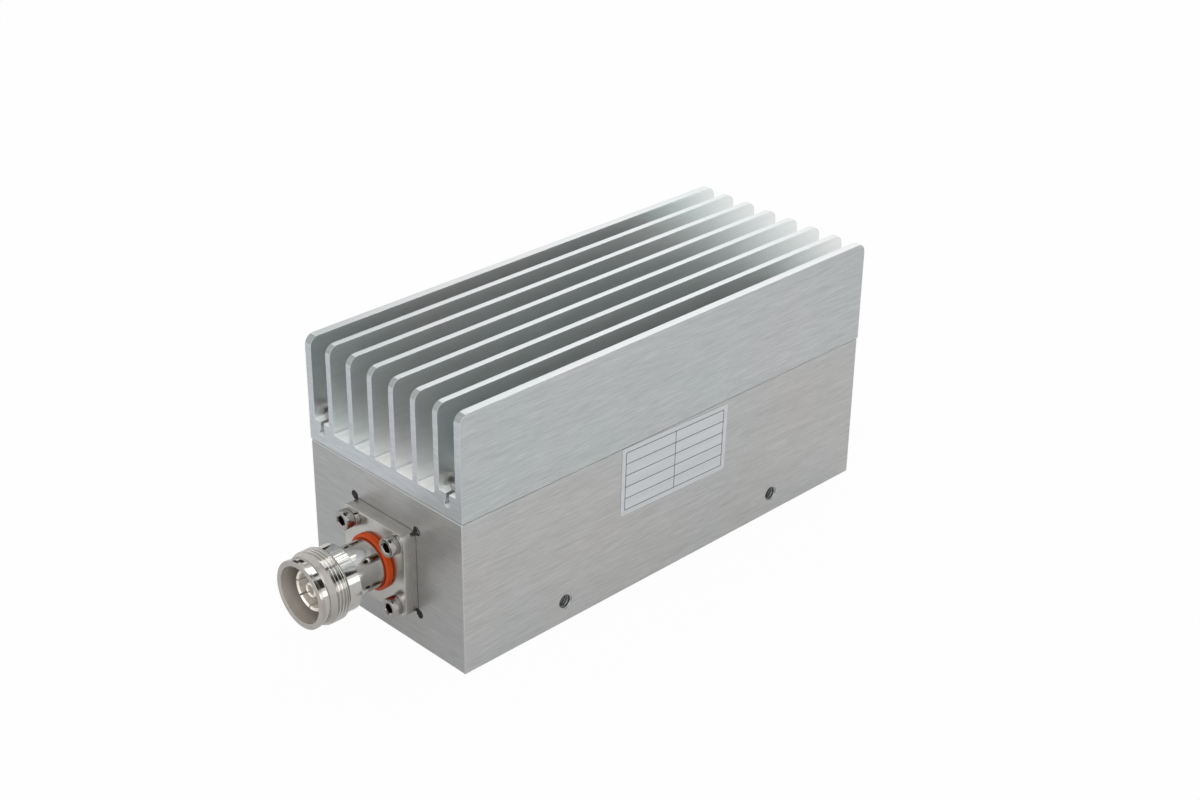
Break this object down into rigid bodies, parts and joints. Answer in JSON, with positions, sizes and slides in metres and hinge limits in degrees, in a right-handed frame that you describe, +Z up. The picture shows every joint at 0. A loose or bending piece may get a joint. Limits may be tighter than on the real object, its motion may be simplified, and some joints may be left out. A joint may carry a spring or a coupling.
{
  "type": "coaxial dummy load",
  "caption": "Coaxial dummy load: a threaded flange jack on a milled metal housing, closed by a finned heat sink.",
  "frame": {"origin": "middle of the housing's underside", "axes": "+Z up through the fins, -Y out of the jack, +X to the side with the label"},
  "size_m": [0.061, 0.1813, 0.0752],
  "materials": {
    "heat_sink": "satin, brushed along its length",
    "housing": "fine brushed",
    "connector_body": "bright plated",
    "outer_contact": "bright plated",
    "centre_contact": "bright plated",
    "bead": "smooth",
    "gasket_ring": "smooth silicone",
    "cable_ferrule": "turned",
    "steel_screw": "plain",
    "load_cable": "tinned",
    "winding_former": "machined",
    "thermal_sheet": "soft",
    "load_resistor": "matt"
  },
  "bodies": {
    "root": {"heat_sink": "heat_sink", "housing": "housing", "connector_body": "connector_body", "outer_contact": "outer_contact", "centre_contact": "centre_contact", "front_bead": "bead", "rear_bead": "bead", "gasket_ring": "gasket_ring", "cable_ferrule": "cable_ferrule", "flange_screw_1": "steel_screw", "flange_screw_2": "steel_screw", "flange_screw_3": "steel_screw", "flange_screw_4": "steel_screw", "lock_washer_1": "steel_screw", "lock_washer_2": "steel_screw", "lock_washer_3": "steel_screw", "lock_washer_4": "steel_screw", "sink_screw_1": "steel_screw", "sink_screw_2": "steel_screw", "sink_screw_3": "steel_screw", "sink_screw_4": "steel_screw", "load_cable": "load_cable", "winding_former": "winding_former", "former_screw_1": "steel_screw", "former_screw_2": "steel_screw", "thermal_sheet": "thermal_sheet", "load_resistor": "load_resistor", "load_screw_1": "steel_screw", "load_screw_2": "steel_screw"}
  },
  "joints": []
}
